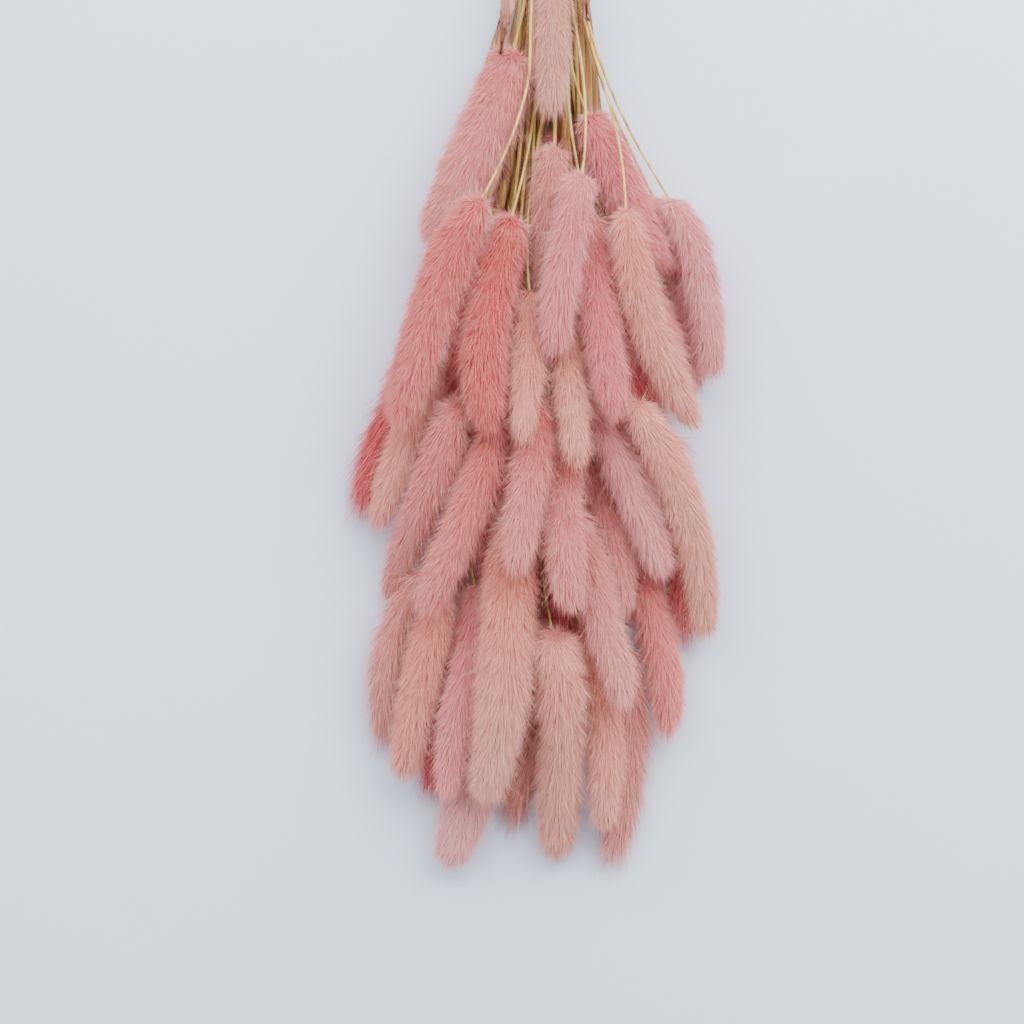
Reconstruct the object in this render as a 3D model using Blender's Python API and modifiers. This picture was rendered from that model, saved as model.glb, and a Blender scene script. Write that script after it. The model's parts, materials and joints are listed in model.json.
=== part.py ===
"""Dried bunny tail grass: a bunch of 49 dyed seed heads on straw stems, tied and laid down.

+X runs across the bunch, +Y from the seed heads to the cut ends, and +Z is up. The bunch
lies on z = 0, and its footprint is centred on the origin.
"""

import math

import bmesh
import bpy
import numpy as np
from mathutils import Vector

MM = 0.001
GAP = 0.35 * MM  # clear space kept between pieces
STEP = 1.0 * MM  # spacing of the points at which stalks are tried against each other

# The stems, as they stand packed in rows under the band
STEM_RADIUS = 0.68 * MM
NECK_RADIUS = 0.45 * MM  # where the stem is thinnest, under its head
COLLAR_RADIUS = 0.82 * MM
COLLAR_LENGTH = 2.6 * MM
STEM_PITCH = 1.15 * MM  # less than a stem, because the band squeezes a row together
ROW_PITCH = 1.85 * MM
ROW_COUNTS = (8, 10, 10, 8, 7, 6)  # stems in each row, from the surface up
CUT_LENGTH = 150 * MM  # from the band to the cut ends
CUT_UNEVEN = 9 * MM
CUT_SPREAD = 2.3  # how much wider than the bundle the cut ends fan out
CUT_DROP = 1.7 * MM
CUT_LIFT = 0.15  # how much higher the upper rows fan out at the cut ends
CUT_WIDER = 1.06  # a cut stem is a little thicker at its foot
FAN_SLOPE = 26.0  # how fast the stems spread below the band, per metre off its middle
STEM_REACH = 0.36  # how stiffly a stem keeps the direction of its ends, as a share of its length
STEM_TOLERANCE = 0.27 * MM  # how far a stem's few points may stray from its course

# The elastic band
BAND_RADIUS = 0.8 * MM
BAND_TURNS = 3
BAND_PITCH = 2.0 * MM
BAND_CORNERS = 12  # straight pieces in a turn
BAND_CLEARANCE = 1.05 * MM
BAND_CROSSES_AT = (2.4, 2.58, 2.8, 2.98)  # turns: it rises, starts to cross, has crossed, is down
BAND_RISE = 1.72 * MM
BAND_START = -0.69  # turns, which brings the crossing to the top of the bundle

# The seed heads: rings of tufts round a bent axis
HEAD_SIDES = 8
HEAD_RINGS = 13
HEAD_BASE_RADIUS = 1.25 * MM
VALLEY = 0.74  # depth between two tufts, as a share of the radius over them
TUFT_REACH = 0.7  # how far a tuft leans towards the tip, in rings
TUFT_LEAST = 0.93  # reach of the smallest tuft, as a share of the largest's
TUFT_STRAY = 0.09  # radians that a tuft stands off its place in the ring
BELLY = 0.56  # height of a head that the bunch presses on the surface, as a share of its radius
SOLID_SHARE = 0.97  # of a head's width: the rest is loose down that gives way
SHOULDER = 0.15  # where the head has filled out, as a share of its length
TAPER_FROM = 0.35
TAPER_LENGTH = 0.66
PRESSED_LEAST = 0.3  # how far neighbours may press a head in, as a share of its radius

# How the stalks sink into place
SLICE = 3 * MM
LAYER = 1.8 * MM  # height between one stalk and the next before they sink
TIER_LAYER = 4 * MM  # and between one row of stems and the next
FIRST_LAYER = 6 * MM
FANNED_OUT = 60 * MM  # below the band: from here on the order of laying sets the height
PRESSED_TOGETHER = 14 * MM  # below the band: so far the stems of a row may press into each other
SETTLE_TURNS = 700
SINKING_TURNS = 380  # after these only what still overlaps moves
SINK_MOST = 0.35 * MM
SINK_LEAST = 0.05 * MM
SINK_SHARE = 0.008  # of the height, so that the pile closes up evenly
SINK_FROM = 40 * MM  # below the band
HEAD_PULL = 0.5  # share of its way back to where it was laid that a head goes in a turn
STEM_PULL = 0.015
HEAD_YIELDS = 0.35  # how far a head gives way, when a stem gives way by 1
PUSHES = 3
PUSH_MOST = 1.2 * MM
STIFFNESS = 5  # rounds of evening out in a turn

# Each stalk in the order in which it is laid, in mm: tint, the head's neck and its tip as
# (across, below the band), how far its middle bows out across, and its width over the tufts
HEADS = (
    # the underside of the bunch
    ("rose", (-14, 64), (-29, 113), 1.0, 14),
    ("salmon", (0, 66), (3, 118), 0.5, 14),
    ("rose", (-8, 118), (-15, 180), 0.5, 14),
    ("salmon", (14, 122), (32, 182), 1.5, 13),
    ("dusty", (-20, 172), (-34, 230), 1.0, 13),
    ("rose", (6, 178), (13, 244), 0.5, 14),
    ("wine", (-3, 174), (-6, 232), 0.0, 12),
    ("dusty", (-22, 112), (-36, 164), 0.5, 12),
    # deep between the others
    ("dusty", (-31, 192), (-50, 241), 0.8, 11),
    ("dusty", (-7, 204), (-11, 264), -0.3, 11),
    ("dusty", (20, 213), (17, 275), 2.4, 12),
    ("wine", (-24, 198), (-35, 255), 0.5, 11),
    ("wine", (-17, 96), (-29, 150), -1.1, 11),
    ("wine", (-11, 102), (-14, 156), 0.5, 11),
    ("wine", (25, 152), (37, 211), 0.8, 11),
    ("wine", (-28, 127), (-48, 175), 2.0, 12),
    ("wine", (18, 110), (26, 164), 0.5, 12),
    ("wine", (-16, 150), (-21, 206), 0.5, 12),
    ("wine", (5, 158), (5, 212), 0.5, 12),
    # the far tier
    ("blush", (-14, 216), (-31, 276), 2.1, 17),
    ("rose", (-22, 196), (-29, 255), 0.5, 12),
    ("peach", (-25, 198), (-42, 250), 3.4, 13),
    ("peach", (8, 208), (15, 265), 2.3, 12),
    ("peach", (-3, 208), (1, 274), 2.0, 15),
    ("coral", (20, 184), (32, 239), 1.2, 12),
    ("salmon", (4, 174), (18, 228), 0.2, 12),
    ("peach", (-14, 176), (-19, 256), -0.9, 16),
    ("peach", (-28, 130), (-48, 179), 1.4, 12),
    ("dusty", (2, 72), (-4, 117), 0.5, 12),
    # the middle tier
    ("peach", (21, 144), (43, 211), 2.4, 12),
    ("salmon", (1, 146), (6, 202), 0.2, 13),
    ("salmon", (6, 152), (20, 204), 1.0, 12),
    ("coral", (12, 90), (29, 143), 0.8, 12),
    ("salmon", (-28, 144), (-47, 200), -1.0, 13),
    ("rose", (8, 138), (27, 193), 1.5, 13),
    ("salmon", (-16, 148), (-32, 202), 1.4, 13),
    ("salmon", (-6, 142), (-9, 191), 1.1, 13),
    # the near tier
    ("dusty", (-1, 21), (-4, 64), 0.6, 11),
    ("salmon", (-9, 45), (-32, 99), 2.8, 17),
    ("rose", (7, 62), (25, 106), 0.4, 14),
    ("peach", (3, 119), (1, 161), -0.7, 11),
    ("rose", (23, 85), (40, 141), 1.7, 12),
    ("rose", (9, 91), (19, 148), -1.2, 13),
    # on top
    ("rose", (27, 87), (45, 137), 1.4, 11),
    ("peach", (17, 91), (40, 151), -6.0, 12),
    ("peach", (-5, 113), (-7, 155), -0.3, 11),
    ("salmon", (-11, 92), (-20, 153), -2.3, 15),
    ("salmon", (-18, 88), (-42, 151), -1.1, 15),
    ("blush", (8, 81), (-3, 131), 0.7, 12),
)

TINTS = {
    "rose": (0.70, 0.26, 0.29),
    "salmon": (0.72, 0.27, 0.24),
    "peach": (0.76, 0.40, 0.28),
    "coral": (0.74, 0.22, 0.22),
    "blush": (0.76, 0.38, 0.40),
    "dusty": (0.56, 0.25, 0.21),
    "wine": (0.48, 0.12, 0.15),
}
STRAW = (0.64, 0.47, 0.24)
LEAF_BROWN = (0.46, 0.24, 0.17)
BAND_TAN = (0.52, 0.33, 0.16)

# The dried leaves caught under the band, over the stems: name, the course of the middle as
# (across, below the band) in mm, and the widest part
LEAVES = (
    ("leaf_left", ((-2.6, -26), (-2.4, 0), (-8.0, 18), (-13.5, 33), (-14.6, 47)), 5.2),
    ("leaf_right", ((2.6, -17), (2.4, 0), (6.6, 15), (9.4, 27), (9.6, 36)), 4.2),
)
LEAF_THICKNESS = 0.62 * MM
LEAF_LENGTHWISE = 12
LEAF_ACROSS = 3
LEAF_SAG = 30 * MM  # radius to which the leaf bends over what it lies on
LEAF_FREE_FROM = 0.55  # share of its length beyond which it crumples
LEAF_WAVE = 0.5 * MM
LEAF_WAVE_LENGTH = 3.1 * MM
LEAF_CURL = 0.35 * MM
LEAF_TIP_CURL = 1.4 * MM
LEAF_OFF_BAND = 3 * MM  # below the band: from here on the leaf follows the stems under it

rng = np.random.default_rng(17)


def clear_scene():
    for thing in list(bpy.data.objects):
        bpy.data.objects.remove(thing, do_unlink=True)


def new_collection(name):
    found = bpy.data.collections.new(name)
    bpy.context.scene.collection.children.link(found)
    return found


def material(name, colour, roughness):
    made = bpy.data.materials.get(name) or bpy.data.materials.new(name)
    made.use_nodes = True
    shader = made.node_tree.nodes["Principled BSDF"]
    shader.inputs["Base Color"].default_value = (*colour, 1)
    shader.inputs["Roughness"].default_value = roughness
    shader.inputs["Metallic"].default_value = 0
    return made


def shade_round(mesh):
    mesh.shade_smooth()
    mesh.set_sharp_from_angle(angle=math.radians(50))


# Courses seen from above


def bezier(points, count):
    """Points on the Bezier curve of these control points, of which there are three or four."""
    t = np.linspace(0, 1, count)[:, None]
    if len(points) == 3:
        a, b, c = points
        return (1 - t) ** 2 * a + 2 * t * (1 - t) * b + t**2 * c
    a, b, c, d = points
    return (1 - t) ** 3 * a + 3 * t * (1 - t) ** 2 * b + 3 * t**2 * (1 - t) * c + t**3 * d


def lengths_along(points):
    """How far along its polyline each point is."""
    steps = np.linalg.norm(np.diff(points, axis=0), axis=1)
    return np.concatenate([[0], np.cumsum(steps)])


def evenly_spaced(points, step):
    """The same course with a point about every step."""
    along = lengths_along(points)
    at = np.linspace(0, along[-1], max(int(round(along[-1] / step)), 2) + 1)
    return np.stack([np.interp(at, along, points[:, k]) for k in range(points.shape[1])], axis=1)


def course_of(slot, neck, tip, bow):
    """Seen from above: from the slot under the band to the neck, and on along the head."""
    chord = tip - neck
    sideways = np.array([-chord[1], chord[0]]) / np.linalg.norm(chord)
    middle = (neck + tip) / 2 + 2 * bow * sideways
    head = bezier((neck, middle, tip), 60)
    into_head = (middle - neck) / np.linalg.norm(middle - neck)
    away = np.array([FAN_SLOPE * slot[0], -1])
    away /= np.linalg.norm(away)
    reach = STEM_REACH * np.linalg.norm(neck - slot)
    stem = bezier((slot, slot + reach * away, neck - reach * into_head, neck), 120)
    return evenly_spaced(stem, STEP), evenly_spaced(head, STEP)


# Laying the stalks on each other


def head_profile(t):
    """The radius over the tufts as a share of the widest, from the neck (0) to the tip (1)."""
    neck = np.sqrt(np.clip(1 - (1 - np.clip(t / SHOULDER, 0, 1)) ** 2.2, 0, 1))
    tip = np.clip(1 - (np.clip((t - TAPER_FROM) / TAPER_LENGTH, 0, 1)) ** 3.2, 0, 1) ** 0.6
    return (0.4 + 0.6 * neck) * tip


def stem_radii(along, total):
    """From the band to the collar under the head."""
    body = STEM_RADIUS + (NECK_RADIUS - STEM_RADIUS) * np.clip(along / (total - COLLAR_LENGTH), 0, 1)
    flare = np.clip((along - (total - COLLAR_LENGTH)) / COLLAR_LENGTH, 0, 1) ** 1.6
    return body + (COLLAR_RADIUS - NECK_RADIUS) * flare


def place_stalks():
    """Every stalk seen from above, in rows of slots under the band, filled from the surface up."""
    stalks = []
    first = 0
    for row, count in enumerate(ROW_COUNTS):
        numbers = list(range(first, first + count))
        by_bearing = sorted(numbers, key=lambda n: HEADS[n][1][0] / HEADS[n][1][1])
        places = {n: (k - (count - 1) / 2) * STEM_PITCH for k, n in enumerate(by_bearing)}
        for n in numbers:
            tint, neck, tip, bow, width = HEADS[n]
            slot = np.array([places[n], 0.0])
            neck = np.array([neck[0], -neck[1]]) * MM
            tip = np.array([tip[0], -tip[1]]) * MM
            stem, head = course_of(slot, neck, tip, bow * MM)
            stem_along = lengths_along(stem)
            head_share = lengths_along(head) / lengths_along(head)[-1]
            solid = SOLID_SHARE * width / 2 * MM
            stalks.append({
                "name": f"head_{n + 1:02d}",
                "tint": tint,
                "row": row,
                "radius": solid,
                "slot_height": 2 * BAND_RADIUS + BAND_CLEARANCE + STEM_RADIUS + row * ROW_PITCH,
                "plan": np.concatenate([stem[:-1], head]),
                "radii": np.concatenate([
                    stem_radii(stem_along, stem_along[-1])[:-1],
                    solid * head_profile(np.clip(head_share - 0.5 * TUFT_REACH / HEAD_RINGS, 0, 1)),
                ]),
                "in_head": np.arange(len(stem) - 1 + len(head)) >= len(stem) - 1,
            })
        first += count
    return stalks


def evened(values, held, free, passes):
    """The values along each stalk evened out, as a stiff stalk does, with its first point held."""
    for _ in range(passes):
        before = np.roll(values, 1, axis=1)
        after = np.roll(values, -1, axis=1)
        rows = np.arange(len(values))
        after[rows, free] = values[rows, free] + (values[rows, free] - values[rows, free - 5]) / 5
        values = np.where(held, values, (before + 2 * values + after) / 4)
    return values


def settle(stalks):
    """Lets the stalks sink from the order in which they are laid until they lie on each other.

    The bunch is cut into slices across its length. In a slice each stalk is a disc, which
    keeps clear of the others and of the surface, and its stiffness ties the slices together.
    """
    deepest = max(-stalk["plan"][-1, 1] for stalk in stalks)
    slices = -np.arange(0, deepest, SLICE)
    count, cuts = len(stalks), len(slices)
    across = np.zeros((count, cuts))
    radii = np.zeros((count, cuts))
    in_head = np.zeros((count, cuts), bool)
    present = np.zeros((count, cuts), bool)
    for k, stalk in enumerate(stalks):
        plan = stalk["plan"]
        down = -plan[:, 1]
        across[k] = np.interp(-slices, down, plan[:, 0])
        lean = np.interp(-slices, down, np.gradient(plan[:, 0]) / np.gradient(down))
        radii[k] = np.interp(-slices, down, stalk["radii"]) * (1 + lean**2) ** 0.5
        in_head[k] = np.interp(-slices, down, stalk["in_head"]) > 0.5
        present[k] = -slices <= down[-1]
    wanted = across.copy()
    held = np.zeros((count, cuts), bool)
    held[:, :2] = True
    held |= ~present
    free = present.sum(axis=1) - 1
    share = np.clip((-slices - SLICE) / FANNED_OUT, 0, 1)
    slot_heights = np.array([stalk["slot_height"] for stalk in stalks])
    order = np.arange(count)
    rows = np.array([stalk["row"] for stalk in stalks])
    laid_heights = FIRST_LAYER + order * LAYER + rows * TIER_LAYER
    heights = slot_heights[:, None] * (1 - share) + laid_heights[:, None] * share
    floor = radii * np.where(in_head & (order[:, None] < ROW_COUNTS[0]), BELLY, 1)
    both = present[:, None, :] & present[None, :, :] & ~np.eye(count, dtype=bool)[:, :, None]
    bound = (rows[:, None] == rows[None, :])[:, :, None] & (-slices < PRESSED_TOGETHER)[None, None, :]
    both &= ~(bound & ~in_head[:, None, :] & ~in_head[None, :, :])
    clear = (radii[:, None, :] + radii[None, :, :] + GAP + 0.1 * MM) * both
    mobile = np.where(in_head, HEAD_YIELDS, 1.0)
    weight = mobile[:, None, :] / (mobile[:, None, :] + mobile[None, :, :])
    pull = np.where(in_head, HEAD_PULL, STEM_PULL)
    for turn in range(SETTLE_TURNS):
        sinking = turn < SINKING_TURNS
        if sinking:
            sink = np.minimum(SINK_MOST, SINK_LEAST + SINK_SHARE * heights)
            heights -= np.where(held, 0, sink * np.clip(-slices / SINK_FROM, 0, 1))
            across += np.where(held, 0, (wanted - across) * pull)
        for _ in range(PUSHES):
            dx = across[:, None, :] - across[None, :, :]
            dz = heights[:, None, :] - heights[None, :, :]
            away = np.sqrt(dx**2 + dz**2) + 1e-9
            push = np.clip(clear - away, 0, PUSH_MOST) * weight
            touching = np.maximum((push > 0).sum(axis=1), 1) ** 0.5
            across += np.where(held, 0, (push * dx / away).sum(axis=1) / touching)
            heights += np.where(held, 0, (push * dz / away).sum(axis=1) / touching)
            heights = np.where(held, heights, np.maximum(heights, floor))
        passes = STIFFNESS if sinking else 1
        across = wanted + evened(across - wanted, held, free, passes)
        heights = evened(heights, held, free, passes)
        heights = np.where(held, heights, np.maximum(heights, floor))
    for k, stalk in enumerate(stalks):
        last = free[k] + 1
        down = -stalk["plan"][:, 1]
        shift = np.interp(down, -slices[:last], (across - wanted)[k, :last])
        height = np.interp(down, -slices[:last], heights[k, :last])
        beyond = down > -slices[last - 1]
        slope = (heights[k, last - 1] - heights[k, last - 2]) / SLICE
        height = height + beyond * slope * (down + slices[last - 1])
        stalk["plan"] = stalk["plan"] + np.column_stack([smoothed(shift), np.zeros(len(shift))])
        stalk["heights"] = smoothed(height)


def smoothed(values):
    """Rounds off the corners at the slices."""
    for _ in range(2):
        padded = np.concatenate([[2 * values[0] - values[1]], values, [2 * values[-1] - values[-2]]])
        values = (padded[:-2] + 2 * padded[1:-1] + padded[2:]) / 4
    return values


def course_in_space(stalk):
    return np.column_stack([stalk["plan"], stalk["heights"]])


def fit_heads(stalks):
    """Presses each head in where a neighbour leaves it less room than its full width."""
    for stalk in stalks:
        stalk["room"] = stalk["radii"].copy()
    for k, stalk in enumerate(stalks):
        course = course_in_space(stalk)
        for other in stalks[:k]:
            away = np.linalg.norm(course[:, None, :] - course_in_space(other)[None, :, :], axis=2)
            for one, two, apart in ((stalk, other, away), (other, stalk, away.T)):
                taken = np.where(two["in_head"], two["radii"] / 2, two["radii"])
                whole = one["radii"][:, None] + two["radii"][None, :]
                share = np.where(two["in_head"][None, :], one["radii"][:, None] / whole, 1)
                left = np.where(two["in_head"][None, :], (apart - GAP) * share, apart - GAP - taken[None, :])
                one["room"] = np.where(one["in_head"], np.minimum(one["room"], left.min(axis=1)), one["room"])
    for stalk in stalks:
        room = np.where(stalk["in_head"], stalk["room"] / stalk["radii"].clip(1e-6), 1).clip(PRESSED_LEAST, 1)
        wide = np.minimum.reduce([np.roll(room, shift) for shift in range(-2, 3)])
        stalk["pressed"] = np.minimum(smoothed(smoothed(wide)), room)


def lay_stalks():
    stalks = place_stalks()
    settle(stalks)
    fit_heads(stalks)
    return stalks


# Seed heads


def frames_along(points):
    """The direction, and two directions square to it, at each point of a course."""
    forward = np.gradient(points, axis=0)
    forward /= np.linalg.norm(forward, axis=1)[:, None]
    side = np.cross(forward, (0, 0, 1))
    side /= np.linalg.norm(side, axis=1)[:, None]
    return forward, side, np.cross(side, forward)


def make_head(stalk, collection):
    """A ball of rings drawn out along the head's bent axis, with every other point a tuft."""
    axis = course_in_space(stalk)[stalk["in_head"]]
    along = lengths_along(axis)
    length = along[-1]
    pressed = stalk["pressed"][stalk["in_head"]]
    _, side, up = frames_along(axis)
    turn = rng.uniform(0, 2 * math.pi / HEAD_SIDES)
    mesh = bpy.data.meshes.new(stalk["name"])
    shape = bmesh.new()
    bmesh.ops.create_uvsphere(shape, u_segments=HEAD_SIDES, v_segments=HEAD_RINGS, radius=1)
    valleys = set()
    for vert in shape.verts:
        ring = round(math.acos(max(-1, min(1, vert.co.z))) * HEAD_RINGS / math.pi)
        corner = round(math.atan2(vert.co.y, vert.co.x) * HEAD_SIDES / (2 * math.pi)) % HEAD_SIDES
        angle = turn + corner * 2 * math.pi / HEAD_SIDES
        share = max(ring - 1, 0) / (HEAD_RINGS - 1)
        reach = 0.0
        if 0 < ring < HEAD_RINGS:
            reach = HEAD_BASE_RADIUS
        if 1 < ring < HEAD_RINGS:
            radius = stalk["radius"] * float(np.interp(share * length, along, pressed))
            if (ring + corner) % 2:
                reach = VALLEY * radius * float(head_profile(np.float64(share)))
                valleys.add(vert)
            else:
                reach = radius * float(head_profile(np.float64(share))) * rng.uniform(TUFT_LEAST, 1)
                share += TUFT_REACH / HEAD_RINGS * rng.uniform(0.6, 1.0) * (1 - share) ** 0.3
                angle += rng.uniform(-TUFT_STRAY, TUFT_STRAY)
        place = share * length
        middle = [np.interp(place, along, axis[:, k]) for k in range(3)]
        across = [np.interp(place, along, side[:, k]) for k in range(3)]
        above = [np.interp(place, along, up[:, k]) for k in range(3)]
        out = math.cos(angle) * np.array(across) + math.sin(angle) * np.array(above)
        x, y, z = np.array(middle) + reach * out
        vert.co = (x, y, max(z, 0.0))
    for face in list(shape.faces):
        low = [vert for vert in face.verts if vert in valleys]
        if len(face.verts) == 4 and len(low) == 2:
            bmesh.utils.face_split(face, low[0], low[1])
    bmesh.ops.triangulate(shape, faces=shape.faces)
    bmesh.ops.recalc_face_normals(shape, faces=shape.faces)
    shape.to_mesh(mesh)
    shape.free()
    head = bpy.data.objects.new(stalk["name"], mesh)
    collection.objects.link(head)
    mesh.materials.append(material(stalk["tint"], TINTS[stalk["tint"]], 0.9))
    return head


# Stems


def thinned(points, tolerance):
    """Fewer points for the same course, none of it more than the tolerance away."""
    keep = [0, len(points) - 1]
    spans = [(0, len(points) - 1)]
    while spans:
        a, b = spans.pop()
        if b - a < 2:
            continue
        chord = points[b] - points[a]
        off = points[a + 1 : b] - points[a]
        share = np.clip(off @ chord / (chord @ chord), 0, 1)
        stray = np.linalg.norm(off - share[:, None] * chord, axis=1)
        worst = int(stray.argmax())
        if stray[worst] > tolerance:
            keep.append(a + 1 + worst)
            spans += [(a, a + 1 + worst), (a + 1 + worst, b)]
    return sorted(set(keep))


def stem_points(stalk):
    """The stem's points and radii, from its cut end, through the band, to the collar."""
    course = course_in_space(stalk)
    count = int(np.argmax(stalk["in_head"]))
    stem = course[: count + 1]
    radii = stalk["radii"][: count + 1].copy()
    radii[-1] = COLLAR_RADIUS
    end = stem[-1] - stem[-2]
    stem[-1] -= end / np.linalg.norm(end) * GAP
    collar = int(round(COLLAR_LENGTH / STEP))
    kept = thinned(stem[: len(stem) - collar], STEM_TOLERANCE)
    kept += [len(stem) - 2, len(stem) - 1]
    slot_x, _, slot_z = stem[0]
    far = CUT_LENGTH + rng.uniform(-CUT_UNEVEN, CUT_UNEVEN)
    share = far / CUT_LENGTH
    across = slot_x * (1 + CUT_SPREAD * share)
    height = slot_z * (1 + CUT_LIFT * share) - CUT_DROP * share
    points = np.concatenate([[(across, far, height)], stem[kept]])
    return points, np.concatenate([[STEM_RADIUS * CUT_WIDER], radii[kept]])


def make_tube(name, points, radii, collection, cyclic=False):
    """A round wire through the points, as a closed mesh."""
    curve = bpy.data.curves.new(name, "CURVE")
    curve.dimensions = "3D"
    curve.twist_mode = "Z_UP"
    curve.bevel_depth = 1
    curve.bevel_resolution = 1
    curve.use_fill_caps = True
    spline = curve.splines.new("POLY")
    spline.points.add(len(points) - 1)
    spline.use_cyclic_u = cyclic
    for point, place, radius in zip(spline.points, points, radii):
        point.co = (*place, 1)
        point.radius = radius
    wire = bpy.data.objects.new(name, curve)
    collection.objects.link(wire)
    graph = bpy.context.evaluated_depsgraph_get()
    mesh = bpy.data.meshes.new_from_object(wire.evaluated_get(graph))
    bpy.data.objects.remove(wire, do_unlink=True)
    shape = bmesh.new()
    shape.from_mesh(mesh)
    bmesh.ops.remove_doubles(shape, verts=shape.verts, dist=1e-6)
    bmesh.ops.recalc_face_normals(shape, faces=shape.faces)
    shape.to_mesh(mesh)
    shape.free()
    tube = bpy.data.objects.new(name, mesh)
    collection.objects.link(tube)
    return tube


def keep_largest_shell(mesh):
    """Drops the small hollows that stems close off where they press together."""
    shape = bmesh.new()
    shape.from_mesh(mesh)
    left = set(shape.verts)
    shells = []
    while left:
        shell = {left.pop()}
        edge = list(shell)
        while edge:
            near = {other.other_vert(vert) for vert in edge for other in vert.link_edges} & left
            left -= near
            shell |= near
            edge = list(near)
        shells.append(shell)
    shells.sort(key=len)
    bmesh.ops.delete(shape, geom=[vert for shell in shells[:-1] for vert in shell], context="VERTS")
    shape.to_mesh(mesh)
    shape.free()


def join_row(name, tubes, collection, cutters):
    """One solid of a row's stems, which press into each other under the band."""
    first, *others = tubes
    row = bpy.data.objects.new(name, first.data)
    collection.objects.link(row)
    bpy.data.objects.remove(first, do_unlink=True)
    union = row.modifiers.new("stems of the row", "BOOLEAN")
    union.operation = "UNION"
    union.solver = "EXACT"
    union.operand_type = "COLLECTION"
    union.collection = cutters
    graph = bpy.context.evaluated_depsgraph_get()
    mesh = bpy.data.meshes.new_from_object(row.evaluated_get(graph))
    row.modifiers.clear()
    keep_largest_shell(mesh)
    row.data = mesh
    mesh.name = name
    for tube in others:
        bpy.data.objects.remove(tube, do_unlink=True)
    mesh.materials.clear()
    mesh.materials.append(material("straw", STRAW, 0.6))
    shade_round(mesh)
    return row


def make_stems(laid, collection, cutters):
    rows = []
    for row in range(len(ROW_COUNTS)):
        tubes = []
        for stalk in laid:
            if stalk["row"] == row:
                points, radii = stem_points(stalk)
                home = cutters if tubes else collection
                tubes.append(make_tube(f"stem_of_{stalk['name']}", points, radii, home))
        rows.append(join_row(f"stems_{row + 1}", tubes, collection, cutters))
    return rows


# Dried leaves


def lowest_over(plan, clearance, laid):
    """The height at which each of these points just clears every stalk beneath it."""
    lowest = np.full(len(plan), clearance)
    for stalk in laid:
        reach = stalk["radii"][None, :] + clearance + GAP
        apart = ((plan[:, None, :] - stalk["plan"][None, :, :]) ** 2).sum(axis=2)
        need = stalk["heights"][None, :] + np.sqrt(np.clip(reach**2 - apart, 0, None))
        lowest = np.maximum(lowest, np.where(reach**2 > apart, need, 0).max(axis=1))
    over_bundle = max(stalk["slot_height"] for stalk in laid) + STEM_RADIUS + clearance + GAP
    return np.where(plan[:, 1] > -LEAF_OFF_BAND, over_bundle, lowest)


def make_leaf(name, course, width, laid, collection):
    """A thin strip that tapers to a point, lies on the stems and crumples in waves."""
    points = np.array([(x, -y) for x, y in course]) * MM
    curve = evenly_spaced(points, STEP)
    for _ in range(40):
        inner = (curve[:-2] + curve[2:]) / 2
        curve[1:-1] = inner
    curve = evenly_spaced(curve, STEP)
    share = lengths_along(curve) / lengths_along(curve)[-1]
    half = width / 2 * MM * np.clip(np.sin(math.pi * np.clip(0.12 + 0.86 * share, 0, 1)), 0, 1) ** 0.7
    forward = np.gradient(curve, axis=0)
    forward /= np.linalg.norm(forward, axis=1)[:, None]
    side = np.column_stack([-forward[:, 1], forward[:, 0]])
    lowest = np.zeros(len(curve))
    for edge in (-1, -0.5, 0, 0.5, 1):
        strand = curve + side * (edge * half)[:, None]
        lowest = np.maximum(lowest, lowest_over(strand, LEAF_THICKNESS, laid))
    along = lengths_along(curve)
    away = along[:, None] - along[None, :]
    heights = (lowest[None, :] - away**2 / (2 * LEAF_SAG)).max(axis=1)
    heights = np.maximum(heights, np.convolve(np.pad(heights, 3, mode="edge"), np.ones(7) / 7, mode="valid"))
    mesh = bpy.data.meshes.new(name)
    shape = bmesh.new()
    bmesh.ops.create_grid(shape, x_segments=LEAF_ACROSS, y_segments=LEAF_LENGTHWISE, size=1)
    length = along[-1]
    for vert in shape.verts:
        place = (vert.co.y + 1) / 2 * length
        middle = np.array([np.interp(place, along, curve[:, k]) for k in range(2)])
        across = np.array([np.interp(place, along, side[:, k]) for k in range(2)])
        reach = float(np.interp(place, along, half)) + 0.15 * MM
        free = np.clip((place / length - LEAF_FREE_FROM) / (1 - LEAF_FREE_FROM), 0, 1)
        wave = (1 + math.sin(place / LEAF_WAVE_LENGTH + 2.2 * vert.co.x)) * LEAF_WAVE * free
        curl = vert.co.x**2 * (LEAF_CURL + LEAF_TIP_CURL * free)
        height = float(np.interp(place, along, heights)) + curl + wave
        x, y = middle + across * reach * vert.co.x
        vert.co = (x, y, height + LEAF_THICKNESS / 2)
    bmesh.ops.triangulate(shape, faces=shape.faces)
    bmesh.ops.recalc_face_normals(shape, faces=shape.faces)
    shape.to_mesh(mesh)
    shape.free()
    leaf = bpy.data.objects.new(name, mesh)
    collection.objects.link(leaf)
    solid = leaf.modifiers.new("thickness", "SOLIDIFY")
    solid.thickness = LEAF_THICKNESS
    solid.offset = 0
    mesh.materials.append(material("dried leaf", LEAF_BROWN, 0.75))
    under_band = [vert.co for vert in mesh.vertices if abs(vert.co.y) < 6 * MM]
    return leaf, [(co.x, co.z + LEAF_THICKNESS / 2) for co in under_band]


# The elastic band


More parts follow.
